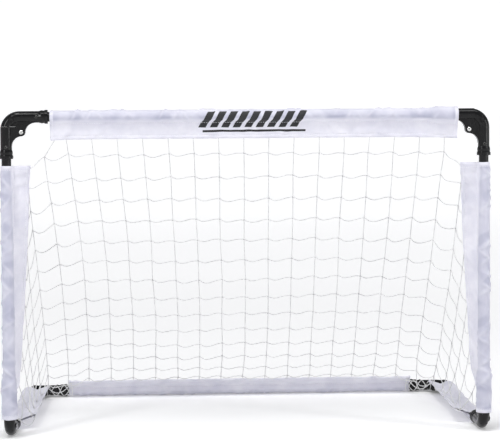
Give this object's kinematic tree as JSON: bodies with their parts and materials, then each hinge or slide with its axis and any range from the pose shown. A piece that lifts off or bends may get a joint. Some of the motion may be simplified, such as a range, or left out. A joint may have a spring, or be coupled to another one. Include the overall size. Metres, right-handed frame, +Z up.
{
  "type": "folding mini goal",
  "caption": "Small folding goal frame of black tubes and folding corner elbows, with white fabric sleeves that hold a sloping knotted string net.",
  "frame": {"origin": "on the ground, in the middle of the goal's width and depth", "axes": "+X to the right as seen from the mouth, +Y from the mouth to the back, +Z up"},
  "size_m": [0.9144, 0.4572, 0.6096],
  "materials": {
    "black_tube": "gloss black powder coat on thin steel tube",
    "black_elbow": "glossy moulded black plastic",
    "black_button": "satin moulded black plastic",
    "bright_steel": "bright plated steel",
    "black_rivet": "black coated aluminium rivet",
    "white_fabric": "thin off-white woven polyester with a soft sheen",
    "white_string": "knotted white twine"
  },
  "bodies": {
    "front_frame": {"crossbar_sleeve": "white_fabric", "crossbar_tube": "black_tube", "front_frame_rivets": "black_rivet", "left_foot_elbow_bend": "black_elbow", "left_foot_lock_spring": "bright_steel", "left_foot_pivot_pin": "bright_steel", "left_post_sleeve": "white_fabric", "left_post_tube": "black_tube", "net": "white_string", "right_foot_elbow_bend": "black_elbow", "right_foot_lock_spring": "bright_steel", "right_foot_pivot_pin": "bright_steel", "right_post_sleeve": "white_fabric", "right_post_tube": "black_tube", "top_left_elbow_arm": "black_elbow", "top_left_elbow_bend": "black_elbow", "top_left_lock_spring": "bright_steel", "top_left_pivot_pin": "bright_steel", "top_right_elbow_arm": "black_elbow", "top_right_elbow_bend": "black_elbow", "top_right_lock_spring": "bright_steel", "top_right_pivot_pin": "bright_steel"},
    "folding_base": {"back_left_elbow_arm": "black_elbow", "back_left_elbow_bend": "black_elbow", "back_left_lock_spring": "bright_steel", "back_left_pivot_pin": "bright_steel", "back_right_elbow_arm": "black_elbow", "back_right_elbow_bend": "black_elbow", "back_right_lock_spring": "bright_steel", "back_right_pivot_pin": "bright_steel", "back_sleeve": "white_fabric", "back_tube": "black_tube", "folding_base_rivets": "black_rivet", "left_foot_elbow_arm": "black_elbow", "left_side_sleeve": "white_fabric", "left_side_tube": "black_tube", "right_foot_elbow_arm": "black_elbow", "right_side_sleeve": "white_fabric", "right_side_tube": "black_tube"},
    "top_left_lock_button": {"top_left_lock_button": "black_button"},
    "top_right_lock_button": {"top_right_lock_button": "black_button"},
    "left_foot_lock_button": {"left_foot_lock_button": "black_button"},
    "right_foot_lock_button": {"right_foot_lock_button": "black_button"},
    "back_left_lock_button": {"back_left_lock_button": "black_button"},
    "back_right_lock_button": {"back_right_lock_button": "black_button"}
  },
  "joints": [
    {"name": "base_fold", "type": "hinge", "parent": "front_frame", "child": "folding_base", "pos_m": [0, -0.1865, 0.041], "axis": [1, 0, 0], "range_deg": [0, 90], "deforming": ["net"]},
    {"name": "top_left_lock_press", "type": "slide", "parent": "front_frame", "child": "top_left_lock_button", "axis": [0, 1, 0], "range_m": [0, 0.002], "stiffness_N_per_m": 300, "springref_m": -0.005, "deforming": ["top_left_lock_spring"]},
    {"name": "top_right_lock_press", "type": "slide", "parent": "front_frame", "child": "top_right_lock_button", "axis": [0, 1, 0], "range_m": [0, 0.002], "stiffness_N_per_m": 300, "springref_m": -0.005, "deforming": ["top_right_lock_spring"]},
    {"name": "left_foot_lock_press", "type": "slide", "parent": "front_frame", "child": "left_foot_lock_button", "axis": [-1, 0, 0], "range_m": [0, 0.002], "stiffness_N_per_m": 300, "springref_m": -0.005, "deforming": ["left_foot_lock_spring"]},
    {"name": "right_foot_lock_press", "type": "slide", "parent": "front_frame", "child": "right_foot_lock_button", "axis": [-1, 0, 0], "range_m": [0, 0.002], "stiffness_N_per_m": 300, "springref_m": -0.005, "deforming": ["right_foot_lock_spring"]},
    {"name": "back_left_lock_press", "type": "slide", "parent": "folding_base", "child": "back_left_lock_button", "axis": [0, 0, -1], "range_m": [0, 0.002], "stiffness_N_per_m": 300, "springref_m": -0.005, "deforming": ["back_left_lock_spring"]},
    {"name": "back_right_lock_press", "type": "slide", "parent": "folding_base", "child": "back_right_lock_button", "axis": [0, 0, -1], "range_m": [0, 0.002], "stiffness_N_per_m": 300, "springref_m": -0.005, "deforming": ["back_right_lock_spring"]}
  ]
}
